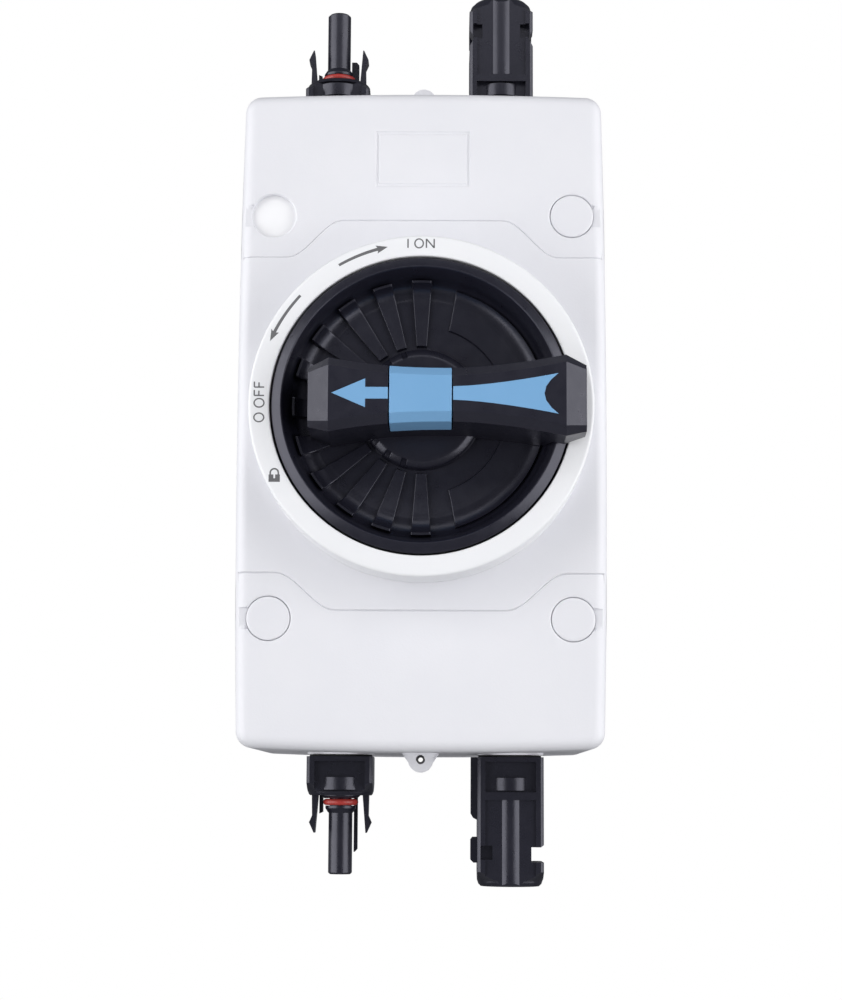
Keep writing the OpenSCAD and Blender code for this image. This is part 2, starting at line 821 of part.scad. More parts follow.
// Collar of a connector: a square with cut corners and a sunk panel on two faces, each panel
// with a rounded block in it; its free end is rounded over the height of the crown
module collar(length, crown) {
    difference() {
        intersection() {
            translate([-collar_w / 2, -collar_w / 2, seal_t]) cube([collar_w, collar_w, length]);
            rotate_extrude() polygon([
                [0, 0], [collar_w / 2 + 2.7, 0], [collar_w / 2 + 2.7, length - crown - 2],
                [collar_w / 2, length - crown], [collar_w / 2 - 0.2 * crown, length - 0.4 * crown],
                [collar_w / 2 - 0.6 * crown, length], [0, length],
            ]);
        }
        for (sy = sides)
            scale([1, sy, 1]) translate([-panel_half, collar_w / 2 - panel_t, 1.6])
                cube([2 * panel_half, 2, 7]);
    }
    for (sy = sides)
        scale([1, sy, 1]) intersection() {
            translate([0, collar_w / 2 - 0.1 - barrel_r, 5.3]) cylinder(h = 2.9, r = barrel_r);
            translate([-3.9, 0, 0]) cube([7.8, collar_w, 9]);
        }
}

// Slim connector: collar, latch arms, guide ribs and a hollow nose
module nose_connector(fin_x, fin_end) {
    difference() {
        union() {
            shank();
            collar(collar_len, 0.8);
            rotate_extrude() polygon([
                [0, 9], [4.6, 9], [4.6, 9.6], [3.9, 10.2], [2.6, 10.2], [2.6, 11.9], [3.6, 11.9],
                [3.6, 12.5], [3.1, 13.3], [nose_r, 13.6], [nose_r, nose_end - 0.4],
                [nose_r - 0.4, nose_end], [0, nose_end],
            ]);
            for (sx = sides)
                scale([sx, 1, 1]) translate([0, 2.2, 0]) rotate([90, 0, 0]) linear_extrude(4.4)
                    polygon([
                        [5.2, 9], [6.7, 9], [6.6, 14.2], [7.3, 15.8], [6.2, 18.2], [5.95, 18.2],
                        [5.5, 12.6],
                    ]);
            translate([0, 4.6, 0]) rotate([90, 0, 0]) linear_extrude(1.5) {
                polygon([[-5.2, 9], [-4.3, 9], [-4.3, 13.4], [-5.2, 13.8]]);
                polygon([[3, 9], [fin_x, 9], [fin_x, fin_end - 0.7], [fin_x - 0.6, fin_end], [3, fin_end]]);
            }
        }
        translate([0, 0, -shank_len - cut]) cylinder(h = shank_len + 6, r = 2.4);
        translate([0, 0, -shank_len]) cylinder(h = 45, r = 2.1);
    }
}

// Cut-out in a sleeve's side, drawn across it as [distance from the axis, distance from the pad]
module side_cut(outline, depth) {
    translate([0, depth / 2, 0]) rotate([90, 0, 0]) linear_extrude(depth) polygon(outline);
}

// Pocket in the front and the back of a sleeve beside a latch window
module window_pockets(side, inner, outer, bottom, top) {
    for (sy = sides)
        scale([side, sy, 1]) translate([inner, collar_w / 2 - 2, bottom])
            cube([outer - inner, 4, top - bottom]);
}

// Sleeve connector: a long body with latch windows around the socket for a mating nose.
// One kind has a keying lug and a latch on its left.
module sleeve_connector(keyed) {
    difference() {
        union() {
            shank();
            collar(sleeve_len, keyed ? 1.4 : 2.1);
            if (keyed)
                scale([-1, 1, 1]) {
                    side_cut([[7, seal_t], [9.2, seal_t], [9.2, 13.6], [8.6, 14.6], [7, 15.4]], 7);
                    side_cut([[7, 19], [8.8, 19], [9.25, 19.6], [9.25, 24.2], [8.6, 24.9], [7, 24.9]], 6);
                }
        }
        translate([0, 0, 14]) cylinder(h = 20, r = 4.25);
        translate([0, 0, 2]) cylinder(h = 20, r = nose_r + 0.15);
        translate([0, 0, -shank_len - cut]) cylinder(h = shank_len + 8, r = 2.4);
        // channels for the mating latch arms
        translate([-6.2, -2.7, 13]) cube([12.4, 5.4, 20]);
        // flutes on both sides of the ribs along the front and back
        for (sy = sides)
            scale([1, sy, 1]) difference() {
                translate([-panel_half, collar_w / 2 - flute_t, 10.4]) cube([2 * panel_half, 2, 22]);
                translate([0, collar_w / 2 - 0.1 - rib_r, 10]) cylinder(h = 23, r = rib_r);
            }
        if (keyed) {
            side_cut([[4.8, 21.2], [7, 21.2], [8.4, 20.2], [9, 20.2], [9, 24.7], [4.8, 24.7]], 18);
            window_pockets(-1, 4.2, 7, 20.9, 24.1);
        } else {
            for (sx = sides)
                scale([sx, 1, 1]) {
                    side_cut([[6.5, 19.6], [8, 17.1], [8, 22.1]], 18);
                    side_cut([[5, 19.2], [9, 19.2], [9, 23], [5, 23]], 5.4);
                    window_pockets(1, 4.6, 6.8, 19.7, 23.2);
                }
        }
    }
}

module socket_contacts() color([0.85, 0.82, 0.75]) {
    for (sz = sides)
        on_pad(-1, sz) difference() {
            translate([0, 0, -6.9]) cylinder(h = 34, r = 2.05);
            translate([0, 0, 10]) cylinder(h = 20, r = pin_r + fit);
        }
}

module pin_contacts() color([0.85, 0.82, 0.75]) {
    for (sz = sides)
        on_pad(1, sz) {
            translate([0, 0, -6.9]) cylinder(h = 8.9, r = 2.05);
            cylinder(h = 26, r = pin_r);
            translate([0, 0, 26]) cylinder(h = 1.2, r1 = pin_r, r2 = 0.7);
        }
}

module nose_seals() color([0.65, 0.24, 0.24]) {
    for (sz = sides)
        on_pad(-1, sz)
            translate([0, 0, 11.05]) rotate_extrude() translate([3.4, 0]) circle(r = 0.75, $fn = 24);
}

module connector_seals() color([0.16, 0.16, 0.17]) {
    for (sx = sides, sz = sides)
        on_pad(sx, sz) difference() {
            cylinder(h = seal_t, r = 7.4);
            translate([0, 0, -cut]) cylinder(h = seal_t + 2 * cut, r = shank_r);
        }
}

module connector_nuts() color(black) {
    for (sx = sides, sz = sides)
        on_pad(sx, sz) translate([0, 0, -8.2]) difference() {
            cylinder(h = 4.8, r = 9, $fn = 6);
            translate([0, 0, -cut]) cylinder(h = 6, r = shank_r);
        }
}

// Foot plate lying in the x-z plane with its screw hole at the origin and its slot above
module foot(slot_lengthwise) {
    slot = slot_lengthwise ? [4.2, 5.8] : [5.8, 4.2];
    difference() {
        slab(foot_f, foot_f + foot_t) difference() {
            polygon([
                [-5.3, -5], [5.3, -5], [5.3, 4.6], [3.75, 7], [3.75, 14.6], [2.9, 15.5],
                [-2.9, 15.5], [-3.75, 14.6], [-3.75, 7], [-5.3, 4.6],
            ]);
            circle(r = 2.15);
            translate([0, 11.3]) slot_2d(slot);
        }
        rotate([90, 0, 0]) translate([0, 0, foot_f - 0.05]) cylinder(h = 1.2, r1 = 3.85, r2 = 2.1);
    }
}

// Slot with round ends along its longer side
module slot_2d(size) {
    r = min(size) / 2;
    reach = max(size) / 2 - r;
    along = size.x > size.y ? [reach, 0] : [0, reach];
    square(size - 2 * [along.x == 0 ? 0 : r, along.y == 0 ? 0 : r], center = true);
    for (s = sides)
        translate(s * along) circle(r = r, $fn = 32);
}

module foot_left() color(steel) {
    translate([-foot_x, 0, 0]) foot(true);
}

module foot_right() color(steel) {
    translate([foot_x, 0, 0]) foot(false);
}

// Countersunk screws whose heads face the wall
module foot_screws() color(steel) {
    for (sx = sides)
        translate([sx * foot_x, 0, 0]) difference() {
            turned([
                [0, 0.25], [2.65, 0.25], [foot_screw_r, 1.5], [foot_screw_r, 7], [0, 8.4],
            ]);
            for (size = [[0.7, 3], [3, 0.7]])
                slab(0, 0.8) square(size, center = true);
        }
}

base_housing();
front_cover();
dial_ring();
seal_eyelets();
cover_gasket();
cover_screws();
screw_caps();
knob_dish();
handle_grip();
arrow_inlay();
grip_screws();
knob_retainer();
knob_seal();
lock_slide();
mounting_plate();
plate_screws();
for (k = [1:4]) {
    contact_deck(k);
    rotor(k);
    moving_contact(k);
    fixed_contacts(k);
}
mechanism_housing();
mechanism_cover();
drive_shaft();
snap_spring();
tie_screws();
terminal_screws();
terminal_links();
wire(-1, 1);  // wire_top_left
wire(1, 1);  // wire_top_right
wire(-1, -1);  // wire_bottom_left
wire(1, -1);  // wire_bottom_right
color(black) on_pad(-1, 1) nose_connector(4.8, 17);  // nose_connector_top
color(black) on_pad(-1, -1) nose_connector(3.9, 22.7);  // nose_connector_bottom
color(black) on_pad(1, 1) sleeve_connector(false);  // sleeve_connector_top
color(black) on_pad(1, -1) sleeve_connector(true);  // sleeve_connector_bottom
socket_contacts();
pin_contacts();
nose_seals();
connector_seals();
connector_nuts();
foot_left();
foot_right();
foot_screws();
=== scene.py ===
import math

import bmesh
import bpy
from mathutils import Matrix, Vector
from mathutils.geometry import delaunay_2d_cdt


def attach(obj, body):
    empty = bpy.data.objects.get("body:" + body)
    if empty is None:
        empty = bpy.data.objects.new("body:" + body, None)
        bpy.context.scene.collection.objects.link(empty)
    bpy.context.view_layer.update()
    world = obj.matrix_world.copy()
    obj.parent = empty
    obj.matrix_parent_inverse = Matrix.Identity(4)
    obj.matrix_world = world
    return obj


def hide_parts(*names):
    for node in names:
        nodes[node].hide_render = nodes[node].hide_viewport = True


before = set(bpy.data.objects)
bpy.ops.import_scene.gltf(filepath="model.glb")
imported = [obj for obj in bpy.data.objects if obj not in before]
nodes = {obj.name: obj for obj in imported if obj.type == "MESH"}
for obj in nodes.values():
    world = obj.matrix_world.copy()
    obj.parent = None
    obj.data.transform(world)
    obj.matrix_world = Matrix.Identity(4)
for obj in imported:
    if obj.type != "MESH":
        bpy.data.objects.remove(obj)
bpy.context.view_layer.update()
scene = bpy.context.scene
MM = 0.001

# Sizes in millimetres. A depth f is a distance in front of the wall, so f = -y.
BODY_W, BODY_H, BOW, CORNER_R = 85.0, 153.6, 0.9, 3.6
PART_F, FRONT_F, FILLET, WALL = 52.7, 67.0, 2.8, 2.6
PLATE_F = FRONT_F - 2.8
SEAM_CHAMFER = 0.35
# the end zones lie a step below the middle zone, behind a fine line
ZONE_STEP = 0.35
ZONE_F = FRONT_F - ZONE_STEP
LINE_DEPTH, LINE_HALF, LINE_FLANK = 0.17, 0.22, 0.13
# height and end of each line's side stretch, then height and end of its middle stretch
ZONES = [(1, (36.9, 31.2, 45.7, 18.6)), (-1, (36.5, 33.0, 45.0, 19.5))]
# blank name plate: left, right, bottom, top, and the groove around it
FRAME = (-10.8, 10.8, 54.0, 67.0)
GROOVE_DEPTH, GROOVE_MID, GROOVE_HALF, GROOVE_FLANK = 0.28, 0.25, 0.42, 0.24
WELL_X, WELL_Z, WELL_R, WELL_FLOOR, WELL_ROUND = 34.6, 46.9, 5.1, 65.0, 0.4
CAP_GAP = 0.12
# slot from a well out to the side of the box
SLOT_F, SLOT_HALF, SLOT_EDGE = 65.9, 2.5, 0.25
STEM_HOLE_R = 8.05
EAR_Z = BODY_H / 2 + 1.5
EAR_R, EAR_T, EAR_HOLE_R = 2.9, 2.5, 1.05
RING_IN, RING_OUT, RING_F = 33.95, 38.7, 80.0
RING_FOOT_IN, RING_FOOT_OUT, RING_FOOT_T = 35.4, 37.4, 1.2
MARK_UP, MARK_DOWN = 0.03, 0.15
ARROW_R, ARROW_HALF, ARROW_HEAD_HALF = 36.8, 0.30, 0.95
PADLOCK_X, PADLOCK_Z = -32.55, -16.1
DISH_R, RIM_F, BOWL_F, HUB_F = 33.5, 81.2, 72.3, 75.1
STEM_F, DISH_REAR_F, WEB_F = 57.6, 69.6, 70.2
# the bowl's floor is hollow between two radii, and its wall starts at the outer one
FLOOR_IN, WALL_R, WALL_REACH, HOLLOW = 14.0, 25.1, 4.6, 0.8
# fins, in degrees
FIN_STEP, FIN_FLAT, FIN_SHOULDER, FINS = 18, 4.0, 0.56, 11
# raised plain side: its edge in degrees, how it leans with the radius, and its two radii
SIDE_EDGE, SIDE_LEAN, SIDE_IN, SIDE_OUT = 71.4, 0.3, 19.0, 29.5


# ---------------------------------------------------------------- materials

def new_material(name):
    mat = bpy.data.materials.new(name)
    mat.use_nodes = True
    return mat, mat.node_tree, mat.node_tree.nodes["Principled BSDF"]


def noise_node(tree, scale, detail=3.0, roughness=0.55, stretch=None):
    coords = tree.nodes.new("ShaderNodeTexCoord")
    out = coords.outputs["Object"]
    if stretch:
        mapping = tree.nodes.new("ShaderNodeMapping")
        mapping.inputs["Scale"].default_value = stretch
        tree.links.new(out, mapping.inputs["Vector"])
        out = mapping.outputs["Vector"]
    tex = tree.nodes.new("ShaderNodeTexNoise")
    tex.inputs["Scale"].default_value = scale
    tex.inputs["Detail"].default_value = detail
    tex.inputs["Roughness"].default_value = roughness
    tree.links.new(out, tex.inputs["Vector"])
    return tex.outputs["Fac"]


def ramp(tree, fac, low, high, lo=0.3, hi=0.7):
    """Colour between low and high by a noise value."""
    node = tree.nodes.new("ShaderNodeValToRGB")
    node.color_ramp.elements[0].position = lo
    node.color_ramp.elements[1].position = hi
    node.color_ramp.elements[0].color = (*low, 1)
    node.color_ramp.elements[1].color = (*high, 1)
    tree.links.new(fac, node.inputs["Fac"])
    return node.outputs["Color"]


def span(tree, fac, low, high):
    """Number between low and high by a noise value."""
    node = tree.nodes.new("ShaderNodeMapRange")
    node.inputs["From Min"].default_value = 0.3
    node.inputs["From Max"].default_value = 0.7
    node.inputs["To Min"].default_value = low
    node.inputs["To Max"].default_value = high
    tree.links.new(fac, node.inputs["Value"])
    return node.outputs["Result"]


def moulded(name, low, high, rough, grain, grain_depth, specular=0.5, tint=(1.0, 1.0, 1.0)):
    """Injection-moulded plastic: cloudy colour, uneven gloss and a fine spark-eroded grain."""
    mat, tree, bsdf = new_material(name)
    mottling = 60.0
    cloud = noise_node(tree, mottling, 4)
    tree.links.new(ramp(tree, cloud, low, high), bsdf.inputs["Base Color"])
    tree.links.new(span(tree, noise_node(tree, mottling * 6), *rough), bsdf.inputs["Roughness"])
    bump = tree.nodes.new("ShaderNodeBump")
    bump.inputs["Distance"].default_value = grain_depth
    tree.links.new(noise_node(tree, grain, 2, 0.6), bump.inputs["Height"])
    tree.links.new(bump.outputs["Normal"], bsdf.inputs["Normal"])
    bsdf.inputs["Specular IOR Level"].default_value = specular
    bsdf.inputs["Specular Tint"].default_value = (*tint, 1)
    return mat


def metal(name, low, high, rough, stretch):
    """Drawn or rolled metal with fine streaks in its colour, gloss and surface."""
    mat, tree, bsdf = new_material(name)
    streaks = noise_node(tree, 900, 4, 0.6, stretch)
    tree.links.new(ramp(tree, streaks, low, high), bsdf.inputs["Base Color"])
    tree.links.new(span(tree, streaks, *rough), bsdf.inputs["Roughness"])
    bump = tree.nodes.new("ShaderNodeBump")
    bump.inputs["Distance"].default_value = 0.00002
    tree.links.new(streaks, bump.inputs["Height"])
    tree.links.new(bump.outputs["Normal"], bsdf.inputs["Normal"])
    bsdf.inputs["Metallic"].default_value = 1.0
    return mat


BLUISH = (0.86, 0.86, 1.0)
MATS = {
    "white_plastic": moulded(
        "white_plastic", (0.748, 0.75, 0.79), (0.768, 0.768, 0.805),
        (0.42, 0.5), 2600, 0.000022,
    ),
    # lighter copy of the cover's white plastic: painted light that brightens the shaded floor of the open
    # well
    "web_plastic_painted_light": moulded(
        "web_plastic_painted_light", (0.9, 0.9, 0.92), (0.92, 0.92, 0.935),
        (0.45, 0.5), 2600, 0.00001,
    ),
    "ring_plastic": moulded(
        "ring_plastic", (0.83, 0.835, 0.86), (0.85, 0.855, 0.875),
        (0.4, 0.46), 2600, 0.000015,
    ),
    "black_plastic": moulded(
        "black_plastic", (0.009, 0.009, 0.0155), (0.0125, 0.0125, 0.0205),
        (0.27, 0.36), 2200, 0.00002, specular=0.65, tint=BLUISH,
    ),
    "connector_plastic": moulded(
        "connector_plastic", (0.009, 0.009, 0.015), (0.0125, 0.0125, 0.0195),
        (0.26, 0.34), 2400, 0.00002, specular=0.65, tint=BLUISH,
    ),
    "blue_plastic": moulded(
        "blue_plastic", (0.17, 0.37, 0.62), (0.185, 0.39, 0.65),
        (0.36, 0.44), 2400, 0.000016,
    ),
    "black_rubber": moulded(
        "black_rubber", (0.02, 0.02, 0.021), (0.028, 0.028, 0.03),
        (0.6, 0.75), 1800, 0.00004, specular=0.3,
    ),
    "red_rubber": moulded(
        "red_rubber", (0.38, 0.035, 0.03), (0.46, 0.05, 0.042),
        (0.3, 0.42), 1800, 0.00002,
    ),
    "grey_plastic": moulded(
        "grey_plastic", (0.07, 0.072, 0.078), (0.09, 0.092, 0.1),
        (0.45, 0.6), 1600, 0.00004,
    ),
    "rotor_plastic": moulded(
        "rotor_plastic", (0.4, 0.09, 0.045), (0.48, 0.12, 0.06),
        (0.4, 0.5), 1600, 0.00003,
    ),
    "red_wire": moulded("red_wire", (0.42, 0.02, 0.015), (0.48, 0.03, 0.02), (0.38, 0.46), 1400, 0.00003),
    "black_wire": moulded(
        "black_wire", (0.012, 0.012, 0.013), (0.018, 0.018, 0.02),
        (0.38, 0.46), 1400, 0.00003,
    ),
    "mark_ink": moulded("mark_ink", (0.12, 0.12, 0.127), (0.15, 0.15, 0.158), (0.5, 0.6), 1500, 0.00001),
    "steel": metal("steel", (0.5, 0.49, 0.48), (0.68, 0.67, 0.66), (0.22, 0.38), (1, 1, 0.06)),
    "dark_steel": metal("dark_steel", (0.09, 0.09, 0.095), (0.15, 0.15, 0.155), (0.35, 0.5), (1, 1, 0.2)),
    "copper": metal("copper", (0.7, 0.36, 0.22), (0.8, 0.46, 0.3), (0.24, 0.4), (0.08, 1, 1)),
    "tinned_brass": metal("tinned_brass", (0.66, 0.64, 0.58), (0.78, 0.76, 0.7), (0.2, 0.34), (1, 1, 0.1)),
}


# ---------------------------------------------------------------- mesh helpers

def to_world(x, z, f):
    return (x * MM, -f * MM, z * MM)


def finish_mesh(name, bm, body, mat, replaced=(), sharp=32.0):
    """Cleans a mesh, marks the edges sharper than an angle, gives it a material and body, and hides the nodes
    it replaces.
    """
    bmesh.ops.remove_doubles(bm, verts=bm.verts, dist=1e-7)
    bmesh.ops.dissolve_degenerate(bm, dist=1e-8, edges=bm.edges)
    bmesh.ops.recalc_face_normals(bm, faces=bm.faces)
    for face in bm.faces:
        face.smooth = True
    limit = math.radians(sharp)
    for edge in bm.edges:
        edge.smooth = len(edge.link_faces) == 2 and edge.calc_face_angle(0) < limit
    mesh = bpy.data.meshes.new(name)
    bm.to_mesh(mesh)
    bm.free()
    obj = bpy.data.objects.new(name, mesh)
    scene.collection.objects.link(obj)
    mesh.materials.append(MATS[mat])
    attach(obj, body)
    if replaced:
        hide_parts(*replaced)


def add_skin(bm, rings, closed=True):
    """Quads between rings of world points. A ring of one point closes to a fan."""
    made = [[bm.verts.new(p) for p in ring] for ring in rings]
    for a, b in zip(made, made[1:]):
        n = max(len(a), len(b))
        for j in range(n if closed else n - 1):
            k = (j + 1) % n
            corners = [a[j % len(a)], a[k % len(a)], b[k % len(b)], b[j % len(b)]]
            unique = [c for i, c in enumerate(corners) if c not in corners[:i]]
            if len(unique) > 2:
                bm.faces.new(unique)
    return made


def fillet(points, steps=5):
    """Rounds a closed profile. Each point is (a, b, radius)."""
    out = []
    n = len(points)
    for i, (px, py, r) in enumerate(points):
        p = Vector((px, py))
        if r <= 0:
            out.append((px, py))
            continue
        a = Vector(points[i - 1][:2]) - p
        b = Vector(points[(i + 1) % n][:2]) - p
        angle = a.angle(b)
        reach = min(r / math.tan(angle / 2), a.length * 0.49, b.length * 0.49)
        start, end = p + a.normalized() * reach, p + b.normalized() * reach
        for s in range(steps + 1):
            t = s / steps
            out.append(tuple((1 - t) ** 2 * start + 2 * t * (1 - t) * p + t * t * end))
    return out


def lathe(bm, profile, x=0.0, z=0.0, segments=192, closed=True):
    """Turns a (radius, f) profile about an axis that runs front to back."""
    rings = []
    for r, f in profile:
        if r < 1e-6:
            rings.append([to_world(x, z, f)])
        else:
            rings.append([
                to_world(x + r * math.cos(a), z + r * math.sin(a), f)
                for a in (2 * math.pi * i / segments for i in range(segments))
            ])
    if closed and len(rings[0]) == len(rings[-1]) and len(rings[0]) > 1:
        rings.append(rings[0])
    add_skin(bm, rings)


def offset(outline, d):
    """Moves a closed anticlockwise outline inwards by d along its corners' bisectors."""
    out = []
    n = len(outline)
    for i in range(n):
        p = Vector(outline[i])
        a = (p - Vector(outline[i - 1])).normalized()
        b = (Vector(outline[(i + 1) % n]) - p).normalized()
        na, nb = Vector((-a.y, a.x)), Vector((-b.y, b.x))
        m = na + nb
        m = m / max(m.length_squared, 0.4) * 2
        out.append(tuple(p + m * d))
    return out


def plate(bm, outline, f0, f1, edge=0.08):
    """Thin plate with eased upper edges over an anticlockwise outline."""
    inner = offset(outline, edge)
    rings = [
        [to_world(x, z, f0) for x, z in outline],
        [to_world(x, z, f1 - edge) for x, z in outline],
        [to_world(x, z, f1) for x, z in inner],
    ]
    made = add_skin(bm, rings)
    for ring in (made[0], made[-1]):
        flat = bm.faces.new(ring)
        flat.normal_update()
        bmesh.ops.triangulate(bm, faces=[flat])


# ---------------------------------------------------------------- enclosure outline

def outline(inset):
    """Closed outline of the box seen from the front, moved inwards, with bowed sides."""
    turn_step, side_points = 5, 48
    w, h = BODY_W / 2 - inset, BODY_H / 2 - inset
    r = max(CORNER_R - inset, 0.6)
    corners = [(1, 1), (-1, 1), (-1, -1), (1, -1)]

    def point(k, turn):
        k %= 4
        a = math.radians(90 * k + turn)
        return (corners[k][0] * (w - r) + r * math.cos(a), corners[k][1] * (h - r) + r * math.sin(a))

    def bowed(p):
        return (p[0] * (1 - BOW / w * (p[1] / h) ** 2), p[1] * (1 - BOW / h * (p[0] / w) ** 2))

    out = []
    for k in range(4):
        out += [bowed(point(k, t)) for t in range(0, 91, turn_step)]
        a, b = point(k, 90), point(k + 1, 0)
        for i in range(1, side_points):
            t = i / side_points
            out.append(bowed((a[0] + (b[0] - a[0]) * t, a[1] + (b[1] - a[1]) * t)))
    return out


def inset_of(x, z):
    """Distance from the bowed outline, close enough near the edge."""
    w, h = BODY_W / 2, BODY_H / 2
    ux = w * (1 - BOW / w * min((z / h) ** 2, 1.1)) - abs(x)
    uz = h * (1 - BOW / h * min((x / w) ** 2, 1.1)) - abs(z)
    r = CORNER_R
    if ux < r and uz < r:
        return r - math.hypot(r - ux, r - uz)
    return min(ux, uz)


def clamp(t, low=0.0, high=1.0):
    return min(max(t, low), high)


def smooth(t):
    t = clamp(t)
    return t * t * (3 - 2 * t)


def zone_line(x, side_z, side_x, mid_z, mid_x):
    """Height of the line between two zones, which rises in an S from the sides to the middle."""
    return side_z + (mid_z - side_z) * smooth((side_x - abs(x)) / (side_x - mid_x))


def outside_frame(x, z):
    """Distance outside the blank name plate, negative within it."""
    return max(FRAME[0] - x, x - FRAME[1], FRAME[2] - z, z - FRAME[3])


def slot_depth(across):
    """Depth of the slot beside a well, with its upper edges rounded."""
    lift = max(across - SLOT_HALF, 0) / SLOT_EDGE
    if lift <= 0:
        return SLOT_F
    return SLOT_F + (ZONE_F - SLOT_F) * (0.65 + 0.35 * math.sqrt(1 - (1 - lift) ** 2))


def front_height(x, z):
    """Depth f of the cover's front face."""
    edge = inset_of(x, z)
    f = FRONT_F
    for sign, line in ZONES:
        beyond = sign * z - zone_line(x, *line)
        f -= ZONE_STEP * smooth((beyond + 0.07) / 0.14)
        f -= LINE_DEPTH * smooth((LINE_HALF - abs(beyond)) / LINE_FLANK)
    f -= GROOVE_DEPTH * smooth((GROOVE_HALF - abs(outside_frame(x, z) + GROOVE_MID)) / GROOVE_FLANK)
    if edge < FILLET:
        t = 1 - max(edge, 0) / FILLET
        f -= FILLET * (1 - math.sqrt(max(1 - t * t, 0)))
    for sx in (-1, 1):
        for sz in (-1, 1):
            d = math.hypot(x - sx * WELL_X, z - sz * WELL_Z)
            across = abs(z - sz * WELL_Z)
            if sx * x > WELL_X and across < SLOT_HALF + SLOT_EDGE:
                f = min(f, slot_depth(across))
            if d < WELL_R - 0.004:
                return WELL_FLOOR
            if d < WELL_R + WELL_ROUND:
                u = 1 - (d - WELL_R) / WELL_ROUND
                f = min(f, ZONE_F - WELL_ROUND * (1 - math.sqrt(max(1 - u * u, 0))))
    return f


def circle_loop(x, z, r, n=72):
    turns = [2 * math.pi * i / n for i in range(n)]
    return [(x + r * math.cos(a), z + r * math.sin(a)) for a in turns]


def loop_edges(base, n):
    return [(base + i, base + (i + 1) % n) for i in range(n)]


def flat_mesh(bm, points, edges, mode, place, solid):
    """Triangulates points and edges, places each corner, and keeps the faces whose middle is solid."""
    verts, _, faces, *_ = delaunay_2d_cdt([Vector(p) for p in points], edges, [], mode, 1e-5)
    made = [bm.verts.new(place(v.x, v.y)) for v in verts]
    for face in faces:
        cx = sum(verts[i].x for i in face) / len(face)
        cz = sum(verts[i].y for i in face) / len(face)
        if solid(cx, cz):
            bm.faces.new([made[i] for i in face])


def height_field(bm, loops, lines, grid, height, hole_r, keep):
    """Mesh of loops, lines and a grid of points in the front view, lifted to height(x, z)."""
    pts, edges = [], []
    for loop in loops:
        edges += loop_edges(len(pts), len(loop))
        pts += loop
    for line in lines:
        edges += loop_edges(len(pts), len(line))[:-1]
        pts += line
    x0, x1, z0, z1, step = grid
    nx, nz = int((x1 - x0) / step), int((z1 - z0) / step)
    for i in range(nx + 1):
        for j in range(nz + 1):
            p = (x0 + (x1 - x0) * i / nx, z0 + (z1 - z0) * j / nz)
            if keep(*p):
                pts.append(p)
    flat_mesh(
        bm, pts, edges, 0,
        lambda x, z: to_world(x, z, height(x, z)),
        lambda x, z: math.hypot(x, z) >= hole_r,
    )


WELLS = [(sx * WELL_X, sz * WELL_Z) for sx in (-1, 1) for sz in (-1, 1)]


def cover_loops():
    """Closed lines of the front: fillet, wells, middle hole and name plate groove."""
    loops = [outline(i) for i in (0.0, 0.02, 0.08, 0.2, 0.4, 0.65, 0.95, 1.3, 1.7, 2.2, FILLET)]
    for wx, wz in WELLS:
        loops += [circle_loop(wx, wz, WELL_R + e) for e in (-0.02, 0.0, 0.05, 0.13, 0.25, WELL_ROUND)]
    loops.append(circle_loop(0, 0, STEM_HOLE_R, 96))
    x0, x1, z0, z1 = FRAME
    for e in (0.17, 0.09, -0.01, -0.49, -0.59, -0.67):
        loops.append([(x0 - e, z0 - e), (x1 + e, z0 - e), (x1 + e, z1 + e), (x0 - e, z1 + e)])
    return loops


def cover_lines():
    """Open lines of the front: the zones' lines and the edges of the slots beside the wells."""
    lines = []
    reach, steps = 41.4, 70
    xs = [reach * (i / steps * 2 - 1) for i in range(steps + 1)]
    for sign, line in ZONES:
        for e in (-0.22, -0.15, -0.07, 0.0, 0.07, 0.15, 0.22):
            lines.append([(x, sign * (zone_line(x, *line) + e)) for x in xs])
    slot_end = BODY_W / 2 - 0.3
    for wx, wz in WELLS:
        s = math.copysign(1, wx)
        for e in (SLOT_HALF, SLOT_HALF + 0.02, SLOT_HALF + 0.1, SLOT_HALF + SLOT_EDGE):
            start = math.sqrt((WELL_R + WELL_ROUND) ** 2 - e * e)
            for side in (-1, 1):
                lines.append([(wx + s * start, wz + side * e), (s * slot_end, wz + side * e)])
    return lines


def clear_of_lines(x, z):
    """True where a grid point is far enough from every line of the front."""
    if inset_of(x, z) < FILLET + 0.8 or math.hypot(x, z) < STEM_HOLE_R + 1:
        return False
    for wx, wz in WELLS:
        if math.hypot(x - wx, z - wz) < WELL_R + 0.9 or (abs(z - wz) < 3.4 and x / wx > 1):
            return False
    if any(abs(sign * z - zone_line(x, *line)) < 0.8 for sign, line in ZONES):
        return False
    return abs(outside_frame(x, z)) > 0.9


def front_cover():
    bm = bmesh.new()
    hole = STEM_HOLE_R - 0.01
    bore = circle_loop(0, 0, STEM_HOLE_R, 96)
    height_field(
        bm, cover_loops(), cover_lines(), (-40, 40, -74, 74, 2.5),
        front_height, hole, clear_of_lines,
    )
    # inside of the plate
    height_field(
        bm, [outline(WALL), bore], [], (-34, 34, -70, 70, 8),
        lambda x, z: PLATE_F, hole, lambda x, z: math.hypot(x, z) > 10,
    )
    add_skin(bm, [[to_world(x, z, f) for x, z in bore] for f in (FRONT_F, PLATE_F)])
    side = [
        (0.0, FRONT_F - FILLET), (0.0, 60.0), (0.0, PART_F + SEAM_CHAMFER), (0.1, PART_F + 0.1),
        (SEAM_CHAMFER, PART_F), (WALL, PART_F), (WALL, PLATE_F),
    ]
    add_skin(bm, [[to_world(x, z, f) for x, z in outline(i)] for i, f in side])
    for sz in (-1, 1):
        sealing_ear(bm, sz)
    finish_mesh("cover_shell", bm, "enclosure", "white_plastic", ["front_cover"])


